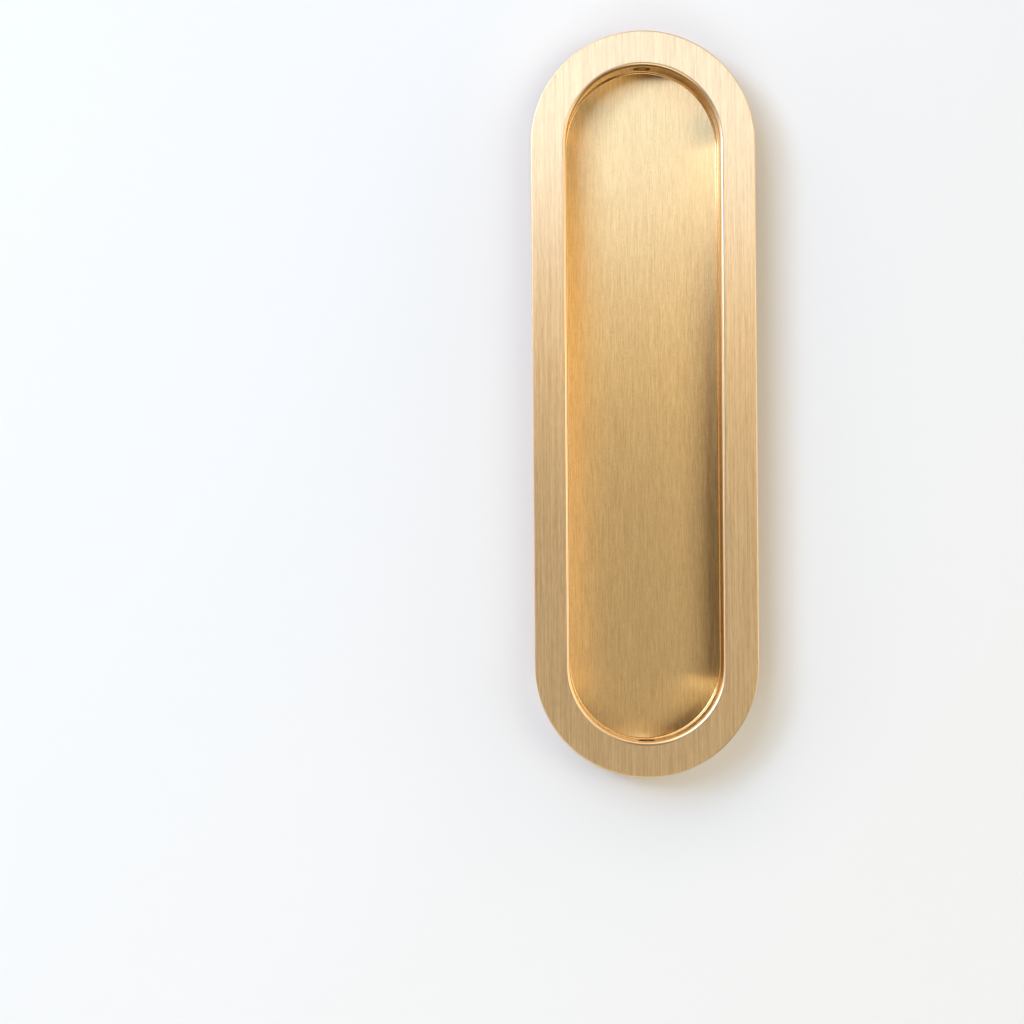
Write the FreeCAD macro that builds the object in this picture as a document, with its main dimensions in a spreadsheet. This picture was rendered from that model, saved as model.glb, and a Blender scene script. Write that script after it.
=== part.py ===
import FreeCAD, Part
import Sketcher
import math
import os

# Recessed pull for a pocket door: one solid brass piece.
# A flat racetrack face laps over the door, and a racetrack cup behind it fills the mortise.
# The finger recess is sunk into the face. Each end wall of the recess has a countersunk
# screw hole that slants outwards and back into the door, so the screws hardly show.
#
# Frame: the pull lies on its back. +Z is out of the face, +Y is along the pull, and the
# origin is at the centre of the flat back of the cup.

# Driving dimensions, in millimetres unless the note says degrees.
SIZES = [
    ("face_length", 200.0, "face, end to end"),
    ("face_width", 60.0, "face, side to side, and the diameter of its half-round ends"),
    ("face_thickness", 3.0, "face plate where it laps over the door"),
    ("rim_width", 9.5, "face, from its outer edge to the recess wall"),
    ("recess_depth", 10.5, "face to recess floor"),
    ("floor_thickness", 2.0, "recess floor to the back of the cup"),
    ("wall_thickness", 3.5, "cup wall round the recess"),
    ("face_edge_radius", 0.3, "outer front edge of the face"),
    ("seat_edge_chamfer", 0.3, "outer rear edge of the face plate"),
    ("recess_edge_radius", 1.0, "edge between the face and the recess wall"),
    ("recess_floor_radius", 0.3, "corner between the recess wall and floor"),
    ("seat_corner_radius", 0.4, "corner between the face plate and the cup"),
    ("back_edge_chamfer", 1.0, "rear edge of the cup, which leads it into the mortise"),
    ("screw_hole_diameter", 2.8, "clearance for a 2.5 mm wood screw"),
    ("screw_head_diameter", 4.8, "mouth of the countersink, for a 4.7 mm screw head"),
    ("countersink_angle", 90.0, "included angle of the countersink, in degrees"),
    ("screw_tilt", 30.0, "slant of the screw to the face, in degrees"),
    ("screw_drop", 5.0, "face to the point where the screw's axis meets the recess wall"),
    ("screw_head_sink", 0.2, "screw head below the recess wall at its proudest point"),
]

# Outlines and heights that follow from the driving dimensions.
FACE = ("Sizes.face_length", "Sizes.face_width")
RECESS = (
    "(Sizes.face_length - 2 * Sizes.rim_width)",
    "(Sizes.face_width - 2 * Sizes.rim_width)",
)
CUP = (
    "(Sizes.face_length - 2 * Sizes.rim_width + 2 * Sizes.wall_thickness)",
    "(Sizes.face_width - 2 * Sizes.rim_width + 2 * Sizes.wall_thickness)",
)
BACK_HEIGHT = "0"
FLOOR_HEIGHT = "Sizes.floor_thickness"
FACE_HEIGHT = "(Sizes.floor_thickness + Sizes.recess_depth)"
SEAT_HEIGHT = "(Sizes.floor_thickness + Sizes.recess_depth - Sizes.face_thickness)"

# The screw hole along its own axis, measured from the recess wall outwards.
# A slanted head clears the wall all round only when its centre is this far in.
HEAD_RADIUS = "(Sizes.screw_head_diameter / 2)"
HOLE_RADIUS = "(Sizes.screw_hole_diameter / 2)"
HEAD_START = (
    f"({HEAD_RADIUS} * tan(Sizes.screw_tilt) + Sizes.screw_head_sink / cos(Sizes.screw_tilt))"
)
HEAD_DEPTH = f"(({HEAD_RADIUS} - {HOLE_RADIUS}) / tan(Sizes.countersink_angle / 2))"
# Both ends of the cut run clear of the metal: into the recess, and out past the cup.
CUT_INWARDS = "Sizes.screw_head_diameter"
CUT_OUTWARDS = "((Sizes.wall_thickness + Sizes.screw_hole_diameter) / cos(Sizes.screw_tilt))"

NEAR = 0.001  # how closely an edge matches the place where it is looked for

# A sketch counts the points of a line or arc upwards from 0, and its own axes down from -1.
SKETCH_POINTS = ("whole", "start", "end", "centre")
SKETCH_AXES = ("x_axis", "y_axis")
SKETCH_ORIGIN = ("x_axis", "start")


def make_sheet(doc):
    """The spreadsheet of driving dimensions: a named cell for each, with its note."""
    sheet = doc.addObject("Spreadsheet::Sheet", "Sizes")
    for row, (name, value, note) in enumerate(SIZES, start=1):
        sheet.set(f"A{row}", name)
        sheet.set(f"B{row}", str(value))
        sheet.setAlias(f"B{row}", name)
        sheet.set(f"C{row}", note)
    doc.recompute()


def worked_out(holder, expression):
    """The present value of an expression."""
    return float(holder.evalExpression(expression))


def origin_plane(body, role):
    """One of the body's own origin planes."""
    return next(plane for plane in body.Origin.OriginFeatures if plane.Role == role)


def new_sketch(body, name, role, offset):
    """A sketch on an origin plane. Offset binds parts of its placement to expressions."""
    sketch = body.newObject("Sketcher::SketchObject", name)
    sketch.AttachmentSupport = [(origin_plane(body, role), "")]
    sketch.MapMode = "FlatFace"
    for part, expression in offset.items():
        sketch.setExpression(f".AttachmentOffset.{part}", expression)
    return sketch


def sketch_number(place):
    """A sketch's number for a word. What isn't a word already is its number."""
    if place in SKETCH_POINTS:
        return SKETCH_POINTS.index(place)
    if place in SKETCH_AXES:
        return -1 - SKETCH_AXES.index(place)
    return place


def constrain(sketch, kind, *places):
    """Ties pieces of a sketch, or their points, which are given as words."""
    numbers = [sketch_number(place) for place in places]
    return sketch.addConstraint(Sketcher.Constraint(kind, *numbers))


def bind(sketch, name, expression, kind, *places):
    """A named dimension of a sketch, which follows an expression."""
    index = constrain(sketch, kind, *places, worked_out(sketch, expression))
    sketch.renameConstraint(index, name)
    sketch.setExpression(f"Constraints.{name}", expression)


def loop_pairs(pieces):
    """Each piece of a closed outline with the one that follows it."""
    return zip(pieces, pieces[1:] + pieces[:1])


def racetrack(body, name, outline, height):
    """A level sketch of two straight sides and two half-round ends, at a height."""
    length, width = outline
    sketch = new_sketch(body, name, "XY_Plane", {"Base.z": height})
    radius = worked_out(sketch, width) / 2
    reach = worked_out(sketch, length) / 2 - radius
    up = FreeCAD.Vector(0, 0, 1)
    side = FreeCAD.Vector(radius, 0, 0)
    top = FreeCAD.Vector(0, reach, 0)
    bottom = FreeCAD.Vector(0, -reach, 0)
    pieces = sketch.addGeometry(
        [
            Part.LineSegment(bottom + side, top + side),
            Part.ArcOfCircle(Part.Circle(top, up, radius), 0, math.pi),
            Part.LineSegment(top - side, bottom - side),
            Part.ArcOfCircle(Part.Circle(bottom, up, radius), math.pi, 2 * math.pi),
        ]
    )
    top_centre = (pieces[1], "centre")
    bottom_centre = (pieces[3], "centre")
    for piece, following in loop_pairs(pieces):
        constrain(sketch, "Tangent", piece, "end", following, "start")
    constrain(sketch, "Equal", pieces[1], pieces[3])
    constrain(sketch, "PointOnObject", *top_centre, "y_axis")
    constrain(sketch, "Symmetric", *top_centre, *bottom_centre, *SKETCH_ORIGIN)
    bind(sketch, "end_radius", f"{width} / 2", "Radius", pieces[1])
    bind(sketch, "straight_side", f"{length} - {width}", "DistanceY", *bottom_centre, *top_centre)
    return sketch


def hole_section(body):
    """Half of the screw hole's section, drawn along its slanted axis.

    The sketch's origin is where that axis meets the recess wall, and its x runs along the
    axis, outwards and back into the door.
    """
    recess_length = RECESS[0]
    sketch = new_sketch(
        body,
        "screw_hole_section",
        "YZ_Plane",
        {
            "Base.x": f"{recess_length} / 2",
            "Base.y": f"{FACE_HEIGHT} - Sizes.screw_drop",
            "Rotation.Angle": "-Sizes.screw_tilt",
        },
    )
    head_radius = worked_out(sketch, HEAD_RADIUS)
    hole_radius = worked_out(sketch, HOLE_RADIUS)
    head_start = worked_out(sketch, HEAD_START)
    head_end = head_start + worked_out(sketch, HEAD_DEPTH)
    inner_end = -worked_out(sketch, CUT_INWARDS)
    outer_end = worked_out(sketch, CUT_OUTWARDS)
    corners = [
        FreeCAD.Vector(inner_end, 0, 0),
        FreeCAD.Vector(inner_end, head_radius, 0),
        FreeCAD.Vector(head_start, head_radius, 0),
        FreeCAD.Vector(head_end, hole_radius, 0),
        FreeCAD.Vector(outer_end, hole_radius, 0),
        FreeCAD.Vector(outer_end, 0, 0),
    ]
    pieces = sketch.addGeometry([Part.LineSegment(*ends) for ends in loop_pairs(corners)])
    inner, head_side, cone, hole_side, outer, axis = pieces
    for piece, following in loop_pairs(pieces):
        constrain(sketch, "Coincident", piece, "end", following, "start")
    constrain(sketch, "Vertical", inner)
    constrain(sketch, "Horizontal", head_side)
    constrain(sketch, "Horizontal", hole_side)
    constrain(sketch, "Vertical", outer)
    constrain(sketch, "PointOnObject", axis, "start", "x_axis")
    constrain(sketch, "PointOnObject", axis, "end", "x_axis")
    in_recess = (axis, "end")
    past_cup = (axis, "start")
    cone_mouth = (cone, "start")
    cone_throat = (cone, "end")
    bind(sketch, "head_radius", HEAD_RADIUS, "DistanceY", *in_recess, head_side, "start")
    bind(sketch, "hole_radius", HOLE_RADIUS, "DistanceY", *past_cup, hole_side, "end")
    bind(sketch, "cut_inwards", CUT_INWARDS, "DistanceX", *in_recess, *SKETCH_ORIGIN)
    bind(sketch, "cut_outwards", CUT_OUTWARDS, "DistanceX", *SKETCH_ORIGIN, *past_cup)
    bind(sketch, "head_start", HEAD_START, "DistanceX", *SKETCH_ORIGIN, *cone_mouth)
    bind(sketch, "head_depth", HEAD_DEPTH, "DistanceX", *cone_mouth, *cone_throat)
    return sketch


def settle(body, feature, grows):
    """Recomputes after a feature is set up, and checks that it adds or cuts as meant."""
    before = 0.0 if body.Shape.isNull() else body.Shape.Volume
    body.Document.recompute()
    change = body.Shape.Volume - before
    print(f"{feature.Label}: {change:+.2f} mm3")
    if (change > 0) != grows or change == 0:
        raise RuntimeError(f"{feature.Label} changes the volume by {change:.3f} mm3")


def add_plate(body, name, outline, height, thickness):
    """A plate with a racetrack outline that rises from a height."""
    pad = body.newObject("PartDesign::Pad", name)
    pad.Profile = racetrack(body, f"{name}_outline", outline, height)
    pad.setExpression("Length", thickness)
    settle(body, pad, grows=True)


def cut_recess(body):
    """The finger recess, sunk from the face."""
    pocket = body.newObject("PartDesign::Pocket", "recess")
    pocket.Profile = racetrack(body, "recess_outline", RECESS, FACE_HEIGHT)
    pocket.Reversed = False
    pocket.setExpression("Length", "Sizes.recess_depth")
    settle(body, pocket, grows=False)


def level_edges(shape, height, width):
    """Names of a shape's edges that lie on the racetrack of a height and width."""
    names = []
    for number, edge in enumerate(shape.Edges, start=1):
        box = edge.BoundBox
        is_level = abs(box.ZMin - height) < NEAR and abs(box.ZMax - height) < NEAR
        if is_level and abs(max(box.XMax, -box.XMin) - width / 2) < NEAR:
            names.append(f"Edge{number}")
    return names


def dress_edge(body, kind, name, outline, height, size_name, grows=False):
    """A fillet or chamfer all round one racetrack edge. Its size has the same name."""
    base = body.Tip
    width = outline[1]
    edges = level_edges(base.Shape, worked_out(base, height), worked_out(base, width))
    feature = body.newObject(f"PartDesign::{kind}", name)
    feature.Base = (base, edges)
    feature.setExpression(size_name, f"Sizes.{name}")
    settle(body, feature, grows)


def cut_screw_holes(body):
    """The slanted screw hole in one end wall, and its mirror image in the other."""
    section = hole_section(body)
    hole = body.newObject("PartDesign::Groove", "screw_hole")
    hole.Profile = section
    hole.ReferenceAxis = (section, ["H_Axis"])
    hole.Angle = 360
    settle(body, hole, grows=False)
    both = body.newObject("PartDesign::Mirrored", "both_screw_holes")
    both.Originals = [hole]
    both.MirrorPlane = (origin_plane(body, "XZ_Plane"), [""])
    body.Tip = both
    settle(body, both, grows=False)


def make_pull_body(doc):
    """The whole pull: face plate, cup, recess, broken edges and screw holes."""
    body = doc.addObject("PartDesign::Body", "pull_body")
    add_plate(body, "cup", CUP, BACK_HEIGHT, SEAT_HEIGHT)
    add_plate(body, "face_plate", FACE, SEAT_HEIGHT, "Sizes.face_thickness")
    cut_recess(body)
    dress_edge(body, "Fillet", "seat_corner_radius", CUP, SEAT_HEIGHT, "Radius", grows=True)
    dress_edge(body, "Fillet", "recess_floor_radius", RECESS, FLOOR_HEIGHT, "Radius", grows=True)
    dress_edge(body, "Fillet", "recess_edge_radius", RECESS, FACE_HEIGHT, "Radius")
    dress_edge(body, "Fillet", "face_edge_radius", FACE, FACE_HEIGHT, "Radius")
    dress_edge(body, "Chamfer", "seat_edge_chamfer", FACE, SEAT_HEIGHT, "Size")
    dress_edge(body, "Chamfer", "back_edge_chamfer", CUP, BACK_HEIGHT, "Size")
    cut_screw_holes(body)
    return body


def check_document(doc):
    """Stops if any object of the document has failed."""
    for item in doc.Objects:
        if "Invalid" in item.State or "Error" in item.State:
            raise RuntimeError(f"{item.Label} failed: {item.State}")


def save(body):
    """Writes the body's shape once it is one sound solid."""
    shape = body.Shape
    if shape.isNull() or not shape.isValid() or len(shape.Solids) != 1:
        raise RuntimeError(f"{body.Label} isn't one valid solid")
    os.makedirs("parts", exist_ok=True)
    shape.exportStep(f"parts/{body.Label}.step")
    print(f"{body.Label}: {shape.Volume / 1000:.3f} cm3, {len(shape.Faces)} faces")


def main():
    doc = FreeCAD.newDocument("pocket_door_pull")
    make_sheet(doc)
    pull_body = make_pull_body(doc)
    check_document(doc)
    save(pull_body)


main()
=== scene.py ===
import math

import bmesh
import bpy
import numpy as np
from bpy.props import FloatProperty, FloatVectorProperty, IntProperty, PointerProperty
from mathutils import Matrix, Vector


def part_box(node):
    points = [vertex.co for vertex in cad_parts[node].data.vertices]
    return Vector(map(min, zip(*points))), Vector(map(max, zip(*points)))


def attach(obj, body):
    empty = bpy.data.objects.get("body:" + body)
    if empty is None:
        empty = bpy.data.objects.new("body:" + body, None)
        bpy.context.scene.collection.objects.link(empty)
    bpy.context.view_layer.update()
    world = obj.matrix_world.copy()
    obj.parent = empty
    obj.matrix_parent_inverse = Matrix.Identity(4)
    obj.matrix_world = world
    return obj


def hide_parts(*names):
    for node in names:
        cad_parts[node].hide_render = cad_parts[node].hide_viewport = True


# The looks of a recessed brass pull for a pocket door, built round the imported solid.
# Everything is in metres, in the solid's own frame: the pull lies on its back, +Z is out
# of its face, +Y is along it, and the origin is at the centre of the flat back.

bl_info = {
    "name": "Pocket door pull",
    "version": (1, 0, 0),
    "blender": (4, 5, 0),
    "location": "View3D > Sidebar > Door pull",
    "description": "Makes a brushed brass pocket door pull and the table that it lies on",
    "category": "Add Mesh",
}

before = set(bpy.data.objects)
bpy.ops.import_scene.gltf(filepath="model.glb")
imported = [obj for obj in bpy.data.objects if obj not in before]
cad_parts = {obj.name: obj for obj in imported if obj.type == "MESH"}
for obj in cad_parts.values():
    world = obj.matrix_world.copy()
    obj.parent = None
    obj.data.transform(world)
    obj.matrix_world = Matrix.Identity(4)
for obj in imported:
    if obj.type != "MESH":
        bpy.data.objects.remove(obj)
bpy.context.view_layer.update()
NODE = "pull_body"
BODY = "root"
LOW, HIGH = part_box(NODE)

MM = 0.001
LINE_MAP = "brush_lines"  # the UV map whose U runs across the brush lines
ON_SURFACE = 0.1 * MM  # a point nearer than this to a flat surface lies on it
LEVEL = 0.999  # a face whose normal rises more than this is level
ALIKE = 0.9  # cosine above which a face has the direction that the section gives there

# The material slots of the pull. Each face of it has one of them.
FACE_BRUSHED, FLOOR_BRUSHED, WALL_MILLED, HOLE_DRILLED, EDGE_EASED = range(5)

# Brush lines are drawn as layers over each other: how many times shorter a layer's lines are
# than the longest, and how much the layer counts. Their sum mostly lies in LINE_SUM, and
# LAYER_SHIFT keeps one layer from repeating another.
LINE_LAYERS = ((1.0, 1.0), (4.5, 1.0), (20.0, 0.7))
LINE_SUM = (1.0, 1.7)
LAYER_SHIFT = 17.3

# The tints of the lamps.
COOL = "#BBD5FF"
WARM = "#FFFBEE"
CREAM = "#FFF0D0"
GOLDEN = "#FFECBE"

# The lamps over the table: the setting with its brightness, the (x, y) of its middle and its
# (x, y) size for each metre of its height, and its tint.
SOFTBOXES = (
    ("key", (-0.5, 0.235), (0.45, 0.13), COOL),
    ("key_low", (-0.575, 0.11), (0.3, 0.12), CREAM),
    ("glow", (0.6, 0.11), (0.6, 0.12), GOLDEN),
    ("key_high", (-0.5, 0.45), (0.45, 0.3), COOL),
    ("side", (-0.95, 0.45), (0.45, 0.45), COOL),
    ("far", (-0.725, 0.9), (0.9, 0.45), COOL),
    ("fill", (0.725, 0.0), (0.9, 0.45), WARM),
    ("fill_far", (0.725, 0.45), (0.9, 0.45), WARM),
    ("near", (-0.25, -0.45), (0.9, 0.45), WARM),
    ("near_low", (-0.25, -0.9), (1.4, 0.45), WARM),
)
WINDOW_SLOPES, WINDOW_SPREAD = (-0.8, 1.4), (1.7, 0.68)

# The room dims from the first to the second height, as sines of the angle above the table.
# ROOM_SIDES are how far to a side a direction points where the room's light starts and is
# full. A direction beyond the pull counts ROOM_BEYOND as much as one to the side.
ROOM_HEIGHTS = (math.sin(math.radians(10)), math.sin(math.radians(42)))
ROOM_SIDES = (0.3, 0.9)
ROOM_BEYOND = 0.7

# The camera looks straight down, a little left of the pull's middle and towards its low end.
CAMERA_LENS = 87.4
CAMERA_X, CAMERA_Y = -0.0358, -0.0286
CAMERA_TURN = math.radians(-0.45)


def length_prop(name, note, default, top=0.5):
    """A size that a user can change, shown in the scene's unit of length."""
    return FloatProperty(
        name=name, description=note, default=default, min=0.0, max=top, unit="LENGTH", precision=4
    )


def share_prop(name, note, default):
    """A plain factor from 0 to 1 that a user can change."""
    return FloatProperty(name=name, description=note, default=default, min=0.0, max=1.0)


def lamp_prop(name, note, default):
    """A brightness that a user can change, where white paper in full light is 1."""
    return FloatProperty(name=name, description=note, default=default, min=0.0, max=100.0)


def linear(hex_colour):
    """The linear RGBA of an sRGB hex colour such as #E6C493."""
    parts = [int(hex_colour[i:i + 2], 16) / 255 for i in (1, 3, 5)]
    rgb = [p / 12.92 if p <= 0.04045 else ((p + 0.055) / 1.055) ** 2.4 for p in parts]
    return (*rgb, 1.0)


def colour_prop(name, note, hex_colour):
    """A colour that a user can change."""
    return FloatVectorProperty(
        name=name, description=note, default=linear(hex_colour), size=4,
        min=0.0, max=1.0, subtype="COLOR",
    )


class PullSizes(bpy.types.PropertyGroup):
    """Sizes of the pull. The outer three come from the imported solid."""

    face_length: length_prop("Length", "Face, end to end", round(HIGH.y - LOW.y, 4))
    face_width: length_prop(
        "Width", "Face, side to side, and the diameter of its ends", round(HIGH.x - LOW.x, 4)
    )
    face_height: length_prop("Height", "Back of the cup to the face", round(HIGH.z - LOW.z, 5))
    face_thickness: length_prop("Plate", "Thickness of the face plate", 3.0 * MM)
    rim_width: length_prop("Rim", "Outer edge of the face to the recess wall", 9.5 * MM)
    recess_depth: length_prop("Recess", "Face to the recess floor", 10.5 * MM)
    wall_thickness: length_prop("Wall", "Wall of the cup round the recess", 3.5 * MM)
    face_edge_radius: length_prop("Outer edge", "Rounding of the outer front edge", 0.3 * MM)
    seat_edge_chamfer: length_prop("Seat edge", "Chamfer behind the face plate", 0.3 * MM)
    recess_edge_radius: length_prop("Recess edge", "Rounding into the recess", 1.0 * MM)
    recess_floor_radius: length_prop("Floor corner", "Rounding round the recess floor", 0.3 * MM)
    seat_corner_radius: length_prop("Seat corner", "Rounding of plate into cup", 0.4 * MM)
    back_edge_chamfer: length_prop("Back edge", "Chamfer round the back of the cup", 1.0 * MM)
    hole_radius: length_prop("Hole radius", "Clearance for the screw", 1.4 * MM)
    head_radius: length_prop("Head radius", "Mouth of the countersink", 2.4 * MM)
    head_start: length_prop("Head seat", "Wall to the countersink, along the screw", 1.617 * MM)
    head_room: length_prop("Head room", "Cut for the head in front of the wall", 4.8 * MM)
    hole_reach: length_prop("Hole reach", "Wall to the cutter's end, along the screw", 7.3 * MM)
    hole_drop: length_prop("Hole drop", "Face to the screw's axis at the wall", 5.0 * MM)
    hole_tilt: FloatProperty(
        name="Hole slant", description="Slant of the screw to the face",
        default=math.radians(30), min=0.0, max=math.radians(60), subtype="ANGLE",
    )
    end_steps: IntProperty(
        name="End steps", description="Flat steps round each half-round end",
        default=96, min=8, max=256,
    )
    hole_sides: IntProperty(
        name="Hole steps", description="Flat steps round each screw hole",
        default=48, min=8, max=128,
    )


class BrassFinish(bpy.types.PropertyGroup):
    """Colours, gloss and brush lines of the brass."""

    face_pale: colour_prop("Face, pale lines", "Where the brush cut a bright line", "#F3D2A1")
    face_dull: colour_prop("Face, dull lines", "Where the brush left a dull line", "#DAB68B")
    floor_pale: colour_prop("Floor, pale lines", "The same on the recess floor", "#F5D297")
    floor_dull: colour_prop("Floor, dull lines", "The same on the recess floor", "#D6B37F")
    wall: colour_prop("Wall", "Milled recess wall", "#F0C78A")
    # The hole colour is brass painted darker, to stand for the shade that falls inside the screw
    # holes.
    hole: colour_prop("Holes", "Drilled screw holes, dull inside", "#9A7440")
    edge: colour_prop("Edges", "Eased edges of the face", "#E7C59A")
    roughness: share_prop("Roughness", "How far the brushing spreads a reflection", 0.40)
    rough_range: share_prop("Roughness range", "Most that a brush line adds or takes off", 0.03)
    spread: share_prop("Spread", "How much more it spreads across the lines than along them", 1.0)
    wall_roughness: share_prop("Wall roughness", "Spread by the milled recess walls", 0.10)
    hole_roughness: share_prop("Hole roughness", "Spread inside the drilled holes", 0.45)
    edge_roughness: share_prop("Edge roughness", "Spread by the eased edges", 0.28)
    face_line: length_prop("Face lines", "Length of the longest brush lines on the face", 60.0 * MM)
    floor_line: length_prop("Floor lines", "The same on the recess floor", 14.0 * MM)
    # Real lines of this grit are about 0.1 mm wide. They are drawn 0.22 to 0.4 mm wide to show.
    face_line_width: length_prop("Face line width", "Width of a brush line on the face", 0.4 * MM)
    floor_line_width: length_prop("Floor line width", "The same on the recess floor", 0.22 * MM)
    line_depth: length_prop("Line depth", "Depth of the brush lines as drawn", 0.004 * MM)


class TableSettings(bpy.types.PropertyGroup):
    """The table, the lamps and the camera."""

    table: colour_prop("Table", "Matt white table top", "#F0EDE8")
    table_side: length_prop("Table size", "Side of the square table top", 6.0, top=20.0)
    camera_height: length_prop("Camera height", "Camera above the face", 0.665, top=5.0)
    lamp_height: length_prop("Lamp height", "Lamps above the table", 1.2, top=5.0)
    key: lamp_prop("Key", "Brightness of the softbox's middle, where white paper is 1", 10.0)
    key_low: lamp_prop("Key, low side", "Brightness of the softbox's near side", 2.0)
    glow: lamp_prop("Glow", "Brightness of the warm strip across the reflector", 3.1)
    key_high: lamp_prop("Key, high side", "Brightness of the softbox's far side", 3.4)
    side: lamp_prop("Side", "Brightness of the softbox out to the left", 14.9)
    far: lamp_prop("Far", "Brightness of the softbox beyond the pull", 4.3)
    window: lamp_prop("Window", "Brightness of the window beyond the pull", 1.6)
    fill: lamp_prop("Fill", "Brightness of the reflector opposite the key", 2.1)
    fill_far: lamp_prop("Fill, far side", "Brightness of that reflector's far side", 1.25)
    near: lamp_prop("Near", "Brightness of the reflector by the camera", 1.5)
    near_low: lamp_prop("Near, low side", "Brightness of that reflector's near side", 2.4)
    zenith: lamp_prop("Room above", "Brightness of the room above", 0.05)
    horizon: lamp_prop("Room round", "Brightness of the room at table height", 2.0)


def arc(centre, radius, start, end, steps=5):
    """Points of an arc in the section, from one angle in degrees to another."""
    angles = np.radians(np.linspace(start, end, steps + 1))
    return [(centre[0] + radius * math.cos(a), centre[1] + radius * math.sin(a)) for a in angles]


def pull_section(size):
    """The section as (distance from the spine, height), from the recess floor over the rim
    to the back, and the normal at both ends of each of its steps."""
    face = size.face_width / 2
    recess = face - size.rim_width
    cup = recess + size.wall_thickness
    top = size.face_height
    floor = top - size.recess_depth
    seat = top - size.face_thickness
    low_r, rim_r, out_r, in_r = (
        size.recess_floor_radius, size.recess_edge_radius, size.face_edge_radius,
        size.seat_corner_radius,
    )
    runs = [
        arc((recess - low_r, floor + low_r), low_r, -90, 0),
        arc((recess + rim_r, top - rim_r), rim_r, 180, 90),
        arc((face - out_r, top - out_r), out_r, 90, 0),
        [(face, seat + size.seat_edge_chamfer)],
        [(face - size.seat_edge_chamfer, seat)],
        arc((cup + in_r, seat - in_r), in_r, 90, 180),
        [(cup, size.back_edge_chamfer)],
        [(cup - size.back_edge_chamfer, 0.0)],
    ]
    centres = [
        (recess - low_r, floor + low_r, -1), (recess + rim_r, top - rim_r, 1),
        (face - out_r, top - out_r, 1), None, None, (cup + in_r, seat - in_r, -1), None, None,
    ]
    points, steps = [], []
    for run, centre in zip(runs, centres):
        for number, point in enumerate(run):
            if points:
                steps.append(step_normals(points[-1], point, centre if number else None))
            points.append(point)
    return points, steps


def step_normals(start, end, centre):
    """The outward normals at both ends of one step of the section."""
    if centre is None:
        along = Vector(end) - Vector(start)
        square = Vector((-along.y, along.x)).normalized()
        return square, square
    middle, sign = Vector(centre[:2]), centre[2]
    return tuple((sign * (Vector(p) - middle)).normalized() for p in (start, end))


def spine_stations(size):
    """The racetrack's stations: (y on the spine, direction from it), round the right side,
    the top end, the left side and the bottom end. Mirror pairs have the same y."""
    half_run = (size.face_length - size.face_width) / 2
    side_steps = size.end_steps // 2
    right = [(y, (1.0, 0.0)) for y in np.linspace(-half_run, half_run, side_steps + 1)]
    left = [(y, (-1.0, 0.0)) for y in np.linspace(half_run, -half_run, side_steps + 1)]
    turn = [math.pi * i / size.end_steps for i in range(1, size.end_steps)]
    top = [(half_run, (math.cos(a), math.sin(a))) for a in turn]
    bottom = [(-half_run, (-math.cos(a), -math.sin(a))) for a in turn]
    return right + top + left + bottom


def swept_shell(size):
    """A bmesh of the section swept round the racetrack, with both flat middles closed."""
    points, _ = pull_section(size)
    stations = spine_stations(size)
    shell = bmesh.new()
    rings = [
        [shell.verts.new((r * d[0], y + r * d[1], z)) for y, d in stations] for r, z in points
    ]
    count = len(stations)
    for inner, outer in zip(rings, rings[1:]):
        for i in range(count):
            j = (i + 1) % count
            shell.faces.new((inner[i], outer[i], outer[j], inner[j]))
    close_middle(shell, rings[0], size, upwards=True)
    close_middle(shell, rings[-1], size, upwards=False)
    return shell


def close_middle(shell, ring, size, upwards):
    """Fills a flat racetrack with strips from side to side."""
    count = len(ring)
    first = -size.end_steps // 2  # the station at the middle of the bottom end
    right = [ring[(first + i) % count] for i in range(count // 2 + 1)]
    left = [ring[(first - i) % count] for i in range(count // 2 + 1)]
    for i in range(count // 2):
        corners = list(dict.fromkeys((right[i], right[i + 1], left[i + 1], left[i])))
        shell.faces.new(corners if upwards else corners[::-1])


def turned_cutter(size, end):
    """A lathe-turned cutter for the screw hole in one end wall: +1 is the top end, -1 the
    bottom one. It has the counterbore, the countersink and the hole on one slanted axis."""
    head, hole, seat = size.head_radius, size.hole_radius, size.head_start
    start, reach = -size.head_room, size.hole_reach
    profile = [
        (0.0, start), (head, start), (head, seat), (hole, seat + head - hole),
        (hole, reach), (0.0, reach),
    ]
    cutter = bmesh.new()
    sides = size.hole_sides
    rings = []
    for radius, along in profile:
        if radius == 0:
            rings.append([cutter.verts.new((0, 0, along))] * sides)
            continue
        turn = [2 * math.pi * i / sides for i in range(sides)]
        rings.append([
            cutter.verts.new((radius * math.cos(a), radius * math.sin(a), along)) for a in turn
        ])
    for inner, outer in zip(rings, rings[1:]):
        for i in range(sides):
            j = (i + 1) % sides
            cutter.faces.new(list(dict.fromkeys((inner[i], inner[j], outer[j], outer[i]))))
    cutter.transform(hole_frame(size, end))
    bmesh.ops.recalc_face_normals(cutter, faces=cutter.faces)
    return cutter


def hole_frame(size, end):
    """The place of a screw hole: its origin on the recess wall, and its Z along the screw."""
    reach = size.face_length / 2 - size.rim_width
    start = Vector((0, end * reach, size.face_height - size.hole_drop))
    axis = Vector((0, end * math.cos(size.hole_tilt), -math.sin(size.hole_tilt)))
    across = Vector((1, 0, 0))
    rest = axis.cross(across)
    return Matrix.Translation(start) @ Matrix((across, rest, axis)).transposed().to_4x4()


def mesh_object(name, shape):
    """An object in the scene from a bmesh, which is freed."""
    mesh = bpy.data.meshes.new(name)
    shape.to_mesh(mesh)
    shape.free()
    piece = bpy.data.objects.new(name, mesh)
    bpy.context.scene.collection.objects.link(piece)
    return piece


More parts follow.
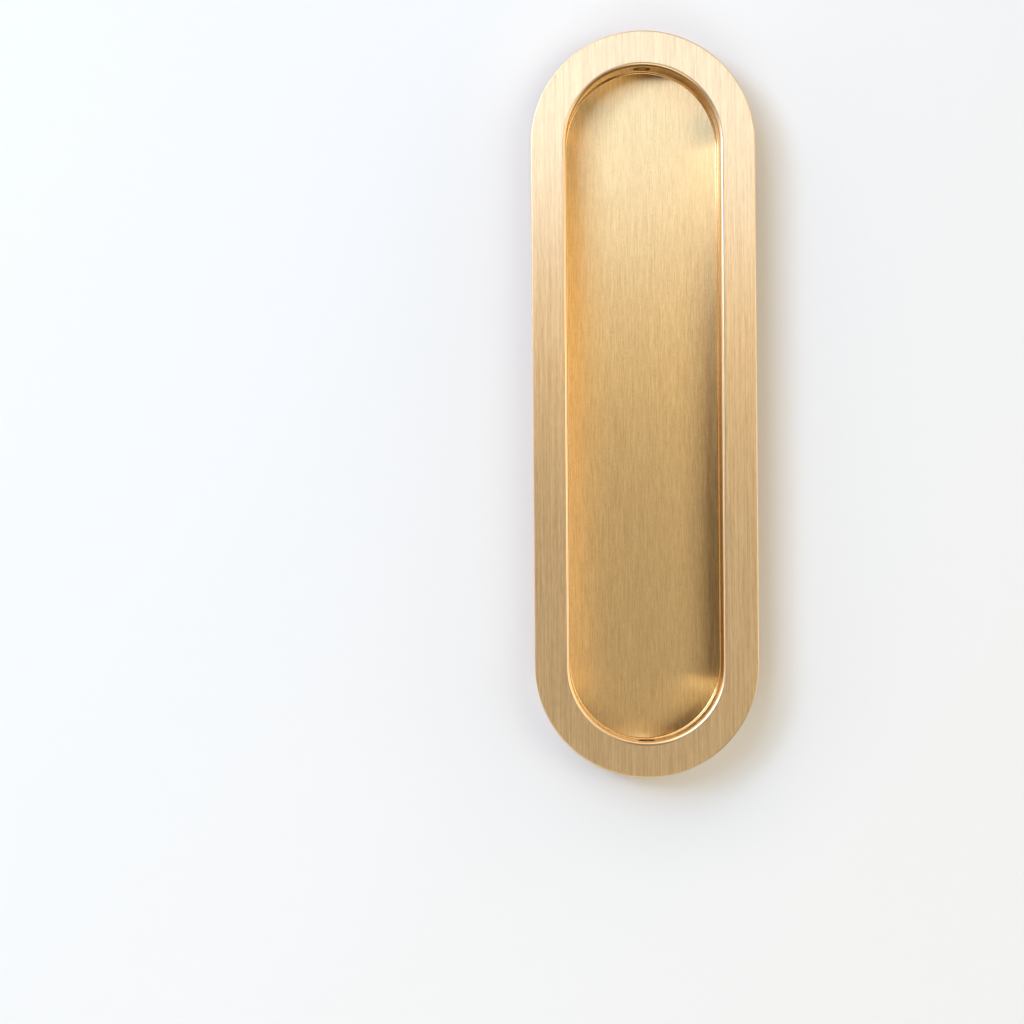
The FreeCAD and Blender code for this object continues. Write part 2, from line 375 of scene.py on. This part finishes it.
def cut_away(piece, cutter):
    """Cuts one object out of another, and removes the cutter."""
    cut = piece.modifiers.new("cut", "BOOLEAN")
    cut.operation = "DIFFERENCE"
    cut.solver = "EXACT"
    cut.object = cutter
    depsgraph = bpy.context.evaluated_depsgraph_get()
    mesh = bpy.data.meshes.new_from_object(piece.evaluated_get(depsgraph))
    piece.modifiers.clear()
    old = piece.data
    piece.data = mesh
    bpy.data.meshes.remove(old)
    spare = cutter.data
    bpy.data.objects.remove(cutter)
    bpy.data.meshes.remove(spare)


def section_places(size, points):
    """For points of the pull: the distance from the spine, the height and the direction."""
    half_run = (size.face_length - size.face_width) / 2
    spine = np.clip(points[:, 1], -half_run, half_run)
    out = np.stack((points[:, 0], points[:, 1] - spine), axis=1)
    distance = np.linalg.norm(out, axis=1)
    direction = out / np.maximum(distance, 1e-9)[:, None]
    return np.stack((distance, points[:, 2]), axis=1), direction, spine


def nearest_steps(places, points):
    """The number of the section's step nearest to each place."""
    start = np.array(points[:-1])
    along = np.diff(np.array(points), axis=0)
    offset = places[:, None, :] - start[None]
    share = np.clip((offset * along).sum(2) / (along ** 2).sum(1), 0, 1)
    return np.linalg.norm(offset - share[..., None] * along, axis=2).argmin(1)


def true_normals(mesh, size):
    """The normal at each face corner, of the true surface that the face stands for, and the
    material slot of each face. The back of the cup is brushed like the face."""
    points, steps = pull_section(size)
    brushed = size.face_height - max(size.recess_edge_radius, size.face_edge_radius)
    corners = np.array(points)
    co = np.array([v.co for v in mesh.vertices])
    floor = points[0][1]
    normals, finishes = [], []
    centres = np.array([f.center for f in mesh.polygons])
    facing = np.array([f.normal for f in mesh.polygons])
    places, direction, _ = section_places(size, centres)
    number = nearest_steps(places, points)
    vertex_places, vertex_direction, _ = section_places(size, co)
    for face in mesh.polygons:
        i = face.index
        flat_middle = abs(facing[i][2]) > LEVEL
        low, high = steps[number[i]]
        middle_normal = (low + high).normalized()
        guess = np.array((*(middle_normal.x * direction[i]), middle_normal.y))
        if flat_middle:
            normals += [tuple(facing[i].round())] * face.loop_total
            in_recess = abs(face.center.z - floor) < ON_SURFACE
            finishes.append(FLOOR_BRUSHED if in_recess else FACE_BRUSHED)
            continue
        if guess @ facing[i] < ALIKE:
            normals += hole_normals(face, co, size)
            finishes.append(HOLE_DRILLED)
            continue
        eased = face.center.z > brushed and middle_normal.y > 0.1
        finishes.append(EDGE_EASED if eased else WALL_MILLED)
        start = corners[number[i]]
        along = corners[number[i] + 1] - start
        for v in face.vertices:
            share = float(np.clip((vertex_places[v] - start) @ along / (along @ along), 0, 1))
            mixed = low.lerp(high, share).normalized()
            normals.append((*(mixed.x * vertex_direction[v]), mixed.y))
    return normals, finishes


def hole_normals(face, co, size):
    """The normals of a face inside a screw hole: straight at the axis, or sloping on the cone."""
    place = hole_frame(size, 1 if face.center.y > 0 else -1)
    back = place.inverted()
    slope = (back.to_3x3() @ face.normal).z
    slope = 0.0 if abs(slope) < 0.2 else math.copysign(math.sqrt(0.5), slope)
    found = []
    for v in face.vertices:
        point = back @ Vector(co[v])
        inward = -Vector((point.x, point.y, 0)).normalized() * math.sqrt(1 - slope * slope)
        found.append(tuple(place.to_3x3() @ Vector((inward.x, inward.y, slope))))
    return found


def lay_line_map(mesh, size, finishes):
    """A UV map in metres. On the flat faces U runs across the pull. On the walls and edges
    it runs up the section, so the brush lines go round the recess."""
    points, _ = pull_section(size)
    start = np.array(points[:-1])
    along = np.diff(np.array(points), axis=0)
    lengths = np.concatenate(([0], np.cumsum(np.linalg.norm(along, axis=1))))
    co = np.array([v.co for v in mesh.vertices])
    places, direction, spine = section_places(size, co)
    layer = mesh.uv_layers.new(name=LINE_MAP)
    centres, _, _ = section_places(size, np.array([f.center for f in mesh.polygons]))
    number = nearest_steps(centres, points)
    radius = size.face_width / 2
    for face, finish in zip(mesh.polygons, finishes):
        k = number[face.index]
        turns = []
        for v in face.vertices:
            angle = math.atan2(abs(direction[v][1]), abs(direction[v][0]))
            turns.append(abs(spine[v]) + angle * radius)
        for corner, v, turn in zip(face.loop_indices, face.vertices, turns):
            if finish in (FACE_BRUSHED, FLOOR_BRUSHED):
                layer.data[corner].uv = co[v][:2]
                continue
            share = (places[v] - start[k]) @ along[k] / (along[k] @ along[k])
            side = math.copysign(1, face.center.x * face.center.y)
            up = lengths[k] + share * (lengths[k + 1] - lengths[k])
            layer.data[corner].uv = (up, side * turn)


def add_node(tree, kind, inputs=None, **settings):
    """A node with its settings, and a value or a link for each input that is named."""
    node = tree.nodes.new(kind)
    for name, value in settings.items():
        setattr(node, name, value)
    for socket, value in (inputs or {}).items():
        if isinstance(value, bpy.types.NodeSocket):
            tree.links.new(value, node.inputs[socket])
        else:
            node.inputs[socket].default_value = value
    return node


def new_material(name):
    """An empty material with nodes, and its output node."""
    material = bpy.data.materials.new(name)
    material.use_nodes = True
    tree = material.node_tree
    tree.nodes.clear()
    return material, tree, add_node(tree, "ShaderNodeOutputMaterial")


def brush_lines(tree, place, width, longest):
    """Brush lines along the pull, long, middling and short ones over each other, as a factor
    from 0 to 1. Width and longest are those of the lines as drawn."""
    total = 0.0
    for number, (shorter, weight) in enumerate(LINE_LAYERS):
        length = longest / shorter
        stretch = add_node(tree, "ShaderNodeMapping", {
            "Vector": place, "Location": (LAYER_SHIFT * number, 0, 0),
            "Scale": (1 / width, 1 / length, 1 / length),
        })
        noise = add_node(tree, "ShaderNodeTexNoise", {
            "Vector": stretch.outputs["Vector"], "Scale": 1.0, "Detail": 1.0,
        })
        total = add_node(tree, "ShaderNodeMath", {
            0: noise.outputs["Fac"], 1: weight, 2: total,
        }, operation="MULTIPLY_ADD").outputs["Value"]
    return add_node(tree, "ShaderNodeMapRange", {
        "Value": total, "From Min": LINE_SUM[0], "From Max": LINE_SUM[1],
    }).outputs["Result"]


def brushed_brass(name, finish, dull, pale, width, longest):
    """Brushed brass, uncoated. Its lines run along the pull, so a reflection stays narrow along
    them and is spread wide across them."""
    material, tree, output = new_material(name)
    place = add_node(tree, "ShaderNodeTexCoord").outputs["Object"]
    lines = brush_lines(tree, place, width, longest)
    tone = add_node(tree, "ShaderNodeMix", {
        0: lines, 6: tuple(dull), 7: tuple(pale),
    }, data_type="RGBA").outputs[2]
    rough = add_node(tree, "ShaderNodeMapRange", {
        "Value": lines, "To Min": finish.roughness - finish.rough_range,
        "To Max": finish.roughness + finish.rough_range,
    }).outputs["Result"]
    bump = add_node(tree, "ShaderNodeBump", {
        "Height": lines, "Distance": finish.line_depth, "Strength": 1.0,
    })
    tangent = add_node(tree, "ShaderNodeTangent", direction_type="UV_MAP", uv_map=LINE_MAP)
    shader = add_node(tree, "ShaderNodeBsdfPrincipled", {
        "Base Color": tone, "Metallic": 1.0, "Roughness": rough,
        "Normal": bump.outputs["Normal"], "Tangent": tangent.outputs["Tangent"],
        "Anisotropic": finish.spread,
    })
    tree.links.new(shader.outputs["BSDF"], output.inputs["Surface"])
    return material


def cut_brass(name, colour, roughness):
    """Brass as the cutter or the wheel left it: end-milled walls are smoother than the brushed
    faces, drilled holes are rough, with a darker colour painted in for the shade inside them,
    and eased edges catch the light as a soft line."""
    material, tree, output = new_material(name)
    shader = add_node(tree, "ShaderNodeBsdfPrincipled", {
        "Base Color": tuple(colour), "Metallic": 1.0, "Roughness": roughness,
    })
    tree.links.new(shader.outputs["BSDF"], output.inputs["Surface"])
    return material


class PULL_OT_brass(bpy.types.Operator):
    """Makes the one-piece brass pull, with both of its slanted screw holes"""

    bl_idname = "pull.brass"
    bl_label = "Brass pull"

    def execute(self, context):
        size = context.scene.pull_sizes
        finish = context.scene.pull_finish
        piece = mesh_object("pull_brass", swept_shell(size))
        for end in (1, -1):
            cut_away(piece, mesh_object("cutter", turned_cutter(size, end)))
        mesh = piece.data
        normals, finishes = true_normals(mesh, size)
        lay_line_map(mesh, size, finishes)
        mesh.polygons.foreach_set("use_smooth", [True] * len(mesh.polygons))
        mesh.normals_split_custom_set(normals)
        mesh.materials.clear()
        # A belt leaves long, even lines on the face. The floor is out of its reach and is
        # brushed by hand, in shorter and finer lines.
        mesh.materials.append(brushed_brass(
            "brass_belt_brushed", finish, finish.face_dull, finish.face_pale,
            finish.face_line_width, finish.face_line,
        ))
        mesh.materials.append(brushed_brass(
            "brass_hand_brushed", finish, finish.floor_dull, finish.floor_pale,
            finish.floor_line_width, finish.floor_line,
        ))
        mesh.materials.append(cut_brass("brass_end_milled", finish.wall, finish.wall_roughness))
        # The holes are rough inside, and their darker colour is painted shade.
        mesh.materials.append(cut_brass("brass_drilled_painted_shade", finish.hole, finish.hole_roughness))
        mesh.materials.append(cut_brass("brass_eased_edge", finish.edge, finish.edge_roughness))
        mesh.polygons.foreach_set("material_index", finishes)
        mesh.update()
        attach(piece, BODY)
        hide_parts(NODE)
        return {"FINISHED"}


def matt_card(settings):
    """Matt white card: it keeps soft shadows and shows no shine."""
    material, tree, output = new_material("card_matt_white")
    shader = add_node(tree, "ShaderNodeBsdfPrincipled", {
        "Base Color": tuple(settings.table), "Roughness": 0.9, "Specular IOR Level": 0.1,
    })
    tree.links.new(shader.outputs["BSDF"], output.inputs["Surface"])
    return material


def add_lamp(name, settings, slopes, spread, brightness, tint):
    """A softbox that hangs level and shines down. Slopes are the (x, y) of its middle and
    spread its (x, y) size, all for each metre of its height."""
    height = settings.lamp_height
    lamp = bpy.data.lights.new(name, "AREA")
    lamp.shape = "RECTANGLE"
    lamp.size, lamp.size_y = (height * share for share in spread)
    lamp.energy = brightness * math.pi * lamp.size * lamp.size_y
    lamp.color = linear(tint)[:3]
    holder = bpy.data.objects.new(name, lamp)
    holder.location = (slopes[0] * height, slopes[1] * height, height)
    bpy.context.scene.collection.objects.link(holder)
    return holder


def room_light(settings, tint):
    """A plain room, pale near table height and dim above. It is palest to the left, to the
    right and beyond the pull, and dark on the near side."""
    world = bpy.data.worlds.new("room")
    world.use_nodes = True
    tree = world.node_tree
    tree.nodes.clear()
    place = add_node(tree, "ShaderNodeTexCoord").outputs["Generated"]
    x, y, z = add_node(tree, "ShaderNodeSeparateXYZ", {0: place}).outputs
    low = add_node(tree, "ShaderNodeMapRange", {
        "Value": z, "From Min": ROOM_HEIGHTS[0], "From Max": ROOM_HEIGHTS[1],
        "To Min": settings.horizon, "To Max": 0.0,
    }, interpolation_type="SMOOTHSTEP").outputs["Result"]
    sideways = add_node(tree, "ShaderNodeMath", {0: x}, operation="ABSOLUTE").outputs["Value"]
    away = add_node(tree, "ShaderNodeMath", {
        0: y, 1: ROOM_BEYOND, 2: sideways,
    }, operation="MULTIPLY_ADD").outputs["Value"]
    share = add_node(tree, "ShaderNodeMapRange", {
        "Value": away, "From Min": ROOM_SIDES[0], "From Max": ROOM_SIDES[1],
    }, interpolation_type="SMOOTHSTEP").outputs["Result"]
    strength = add_node(tree, "ShaderNodeMath", {
        0: low, 1: share, 2: settings.zenith,
    }, operation="MULTIPLY_ADD").outputs["Value"]
    light = add_node(tree, "ShaderNodeBackground", {"Color": linear(tint), "Strength": strength})
    out = add_node(tree, "ShaderNodeOutputWorld")
    tree.links.new(light.outputs["Background"], out.inputs["Surface"])
    return world


class PULL_OT_table(bpy.types.Operator):
    """Lays the table, hangs the lamps and sets the camera"""

    bl_idname = "pull.table"
    bl_label = "Table, lamps and camera"

    def execute(self, context):
        scene = context.scene
        settings = scene.pull_table
        half = settings.table_side / 2
        flat = bmesh.new()
        corners = [(-half, -half, 0), (half, -half, 0), (half, half, 0), (-half, half, 0)]
        flat.faces.new([flat.verts.new(c) for c in corners])
        table = mesh_object("table", flat)
        table.data.materials.append(matt_card(settings))

        for name, slopes, spread, tint in SOFTBOXES:
            add_lamp("softbox_" + name, settings, slopes, spread, getattr(settings, name), tint)
        window = add_lamp(
            "window_far", settings, WINDOW_SLOPES, WINDOW_SPREAD, settings.window, WARM
        )
        # The window doesn't hang level: it faces the pull.
        window.rotation_euler = window.location.to_track_quat("Z", "Y").to_euler()
        scene.world = room_light(settings, WARM)

        lens = bpy.data.cameras.new("camera")
        lens.lens = CAMERA_LENS
        lens.clip_start = 0.01
        camera = bpy.data.objects.new("camera", lens)
        height = scene.pull_sizes.face_height + settings.camera_height
        camera.location = (CAMERA_X, CAMERA_Y, height)
        camera.rotation_euler = (0, 0, CAMERA_TURN)
        scene.collection.objects.link(camera)
        bpy.context.scene.camera = camera
        scene.view_settings.view_transform = "Standard"
        return {"FINISHED"}


class PULL_PT_maker(bpy.types.Panel):
    """Lists the pieces, with the sizes and colours that they are made from"""

    bl_idname = "PULL_PT_maker"
    bl_label = "Pocket door pull"
    bl_space_type = "VIEW_3D"
    bl_region_type = "UI"
    bl_category = "Door pull"

    def draw(self, context):
        rows = (
            ("pull_sizes", PullSizes, None),
            ("pull_finish", BrassFinish, PULL_OT_brass.bl_idname),
            ("pull_table", TableSettings, PULL_OT_table.bl_idname),
        )
        for holder, group, button in rows:
            box = self.layout.box()
            for prop in group.__annotations__:
                box.prop(getattr(context.scene, holder), prop)
            if button:
                box.operator(button)


CLASSES = (PullSizes, BrassFinish, TableSettings, PULL_OT_brass, PULL_OT_table, PULL_PT_maker)


def register():
    """Registers the classes, and the settings that each scene keeps."""
    for cls in CLASSES:
        bpy.utils.register_class(cls)
    bpy.types.Scene.pull_sizes = PointerProperty(type=PullSizes)
    bpy.types.Scene.pull_finish = PointerProperty(type=BrassFinish)
    bpy.types.Scene.pull_table = PointerProperty(type=TableSettings)


def unregister():
    """Takes the settings and the classes away again."""
    del bpy.types.Scene.pull_table
    del bpy.types.Scene.pull_finish
    del bpy.types.Scene.pull_sizes
    for cls in reversed(CLASSES):
        bpy.utils.unregister_class(cls)


def main():
    """Makes the pull, then the stage."""
    register()
    bpy.ops.pull.brass()
    bpy.ops.pull.table()


if __name__ == "__main__":
    main()
